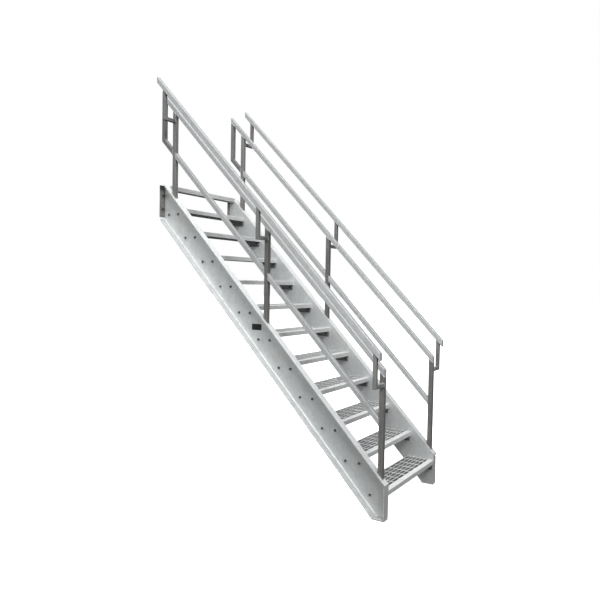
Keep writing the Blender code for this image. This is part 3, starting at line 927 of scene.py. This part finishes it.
# sides, radius, start, end, taper
M16 = ((24, 0.0150, PLATE_THICK, 0.013, 1.0), (6, 0.0139, 0.013, 0.0215, 1.0),
       (6, 0.0139, 0.0215, 0.023, 0.87), (16, 0.0080, 0.0005, 0.034, 1.0))


def connection_bolts():
    bm = bmesh.new()
    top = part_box("left_top_plate")[1].z
    for _, sign in SIDES:
        for below in CONNECTION_BELOW:
            for sides, radius, start, end, taper in M16:
                at = Matrix.Translation((sign * CONNECTION_X, PLATE_BACK - (start + end) / 2,
                                         top - below))
                bmesh.ops.create_cone(bm, cap_ends=True, segments=sides, radius1=radius,
                                      radius2=radius * taper, depth=end - start,
                                      matrix=at @ Matrix.Rotation(math.radians(90), 4, "X"))
    return as_mesh(bm, "connection_bolts")


show("connection_bolts", softened(connection_bolts(), BOLT_ARRIS), SHADED_BOLT_ZINC)
print("connection bolts at x %.4f m" % CONNECTION_X)

# %% [markdown]
# ## Welds
# A weld is a row of frozen ripples.  The outlines found above are the paths: the
# recipe resamples them at the ripple's pitch, swells the rings in a wave, adds a
# little noise and sweeps a small round along it.

# %% Welds
BEAD = 0.0030
BEAD_SIDES = 6
RIPPLE = 0.0028
RIPPLE_TURN = 2.1         # radians of the swelling from ring to ring
RIPPLE_NOISE = 45.0
SWELL = 0.16


def bead_recipe():
    recipe = Recipe("weld_beads", {"Bead Radius": "Float", "Ripple": "Float",
                                   "Swell": "Float", "Zinc": "Material"})
    given = recipe.given
    path = recipe.node("GeometryNodeMeshToCurve", {}, {0: given["Geometry"]})[0]
    path = recipe.node("GeometryNodeResampleCurve", {"mode": "LENGTH"},
                       {"Curve": path, "Length": given["Ripple"]})[0]
    index = recipe.node("GeometryNodeInputIndex")[0]
    wave = recipe.maths("SINE", recipe.maths("MULTIPLY", index, RIPPLE_TURN))
    noise = recipe.node("ShaderNodeTexNoise", {}, {"Scale": RIPPLE_NOISE})[0]
    wave = recipe.maths("ADD", wave, recipe.maths("SUBTRACT", noise, 0.5))
    radius = recipe.maths("ADD", 1.0, recipe.maths("MULTIPLY", wave, given["Swell"]))
    path = recipe.node("GeometryNodeSetCurveRadius", {}, {"Curve": path, "Radius": radius})[0]
    ring = recipe.node("GeometryNodeCurvePrimitiveCircle", {"mode": "RADIUS"},
                       {"Resolution": BEAD_SIDES, "Radius": given["Bead Radius"]})[0]
    bead = recipe.node("GeometryNodeCurveToMesh", {}, {"Curve": path, "Profile Curve": ring})[0]
    bead = recipe.node("GeometryNodeSetShadeSmooth", {}, {0: bead})[0]
    recipe.end(bead, given["Zinc"])
    return recipe


def seams_mesh(name, outlines):
    points, edges = [], []
    for outline in outlines:
        base, count = len(points), len(outline)
        points += outline
        edges += [(base + i, base + (i + 1) % count) for i in range(count)]
    return points_mesh(name, points, edges)


beads = bead_recipe().bake(seams_mesh("weld_paths", tube_seams), Bead_Radius=BEAD,
                           Ripple=RIPPLE, Swell=SWELL, Zinc=WELD_ZINC)
show("tube_welds", beads, WELD_ZINC)
print("tube welds:", len(tube_seams), "outlines,", len(beads.polygons), "faces")

# %% [markdown]
# ## Nameplate
# A plain lacquered plate with a raised rim, held by four rivets.  It says nothing.

# %% Nameplate
RIVET = 0.0022
RIM = 0.0035
RIVET_IN = 2.4 * RIM      # from the plate's edges
RIM_STEP = 0.0004         # how far the field lies behind the rim
low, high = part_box("nameplate")
bm = merged("nameplate")
outer = min(bm.faces, key=lambda f: f.normal.x)
bmesh.ops.inset_region(bm, faces=[outer], thickness=RIM, depth=0.0)
bmesh.ops.translate(bm, verts=outer.verts[:], vec=(RIM_STEP, 0.0, 0.0))
for y in (low.y + RIVET_IN, high.y - RIVET_IN):
    for z in (low.z + RIVET_IN, high.z - RIVET_IN):
        dome = Matrix.Translation((low.x + RIM_STEP, y, z)) @ Matrix.Diagonal((0.5, 1, 1, 1))
        bmesh.ops.create_uvsphere(bm, u_segments=12, v_segments=6, radius=RIVET, matrix=dome)
show("nameplate_finished", softened(as_mesh(bm, "nameplate"), NAMEPLATE_ARRIS), LACQUER,
     ["nameplate"])
print("nameplate %.0f by %.0f mm" % ((high.y - low.y) * 1000, (high.z - low.z) * 1000))

# %% Measure and finish
low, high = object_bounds()
triangles = {o.name: sum(len(p.vertices) - 2 for p in o.data.polygons)
             for o in bpy.context.scene.objects if o.type == "MESH" and not o.hide_render}
print("triangles", sum(triangles.values()), "most", max(triangles, key=triangles.get))
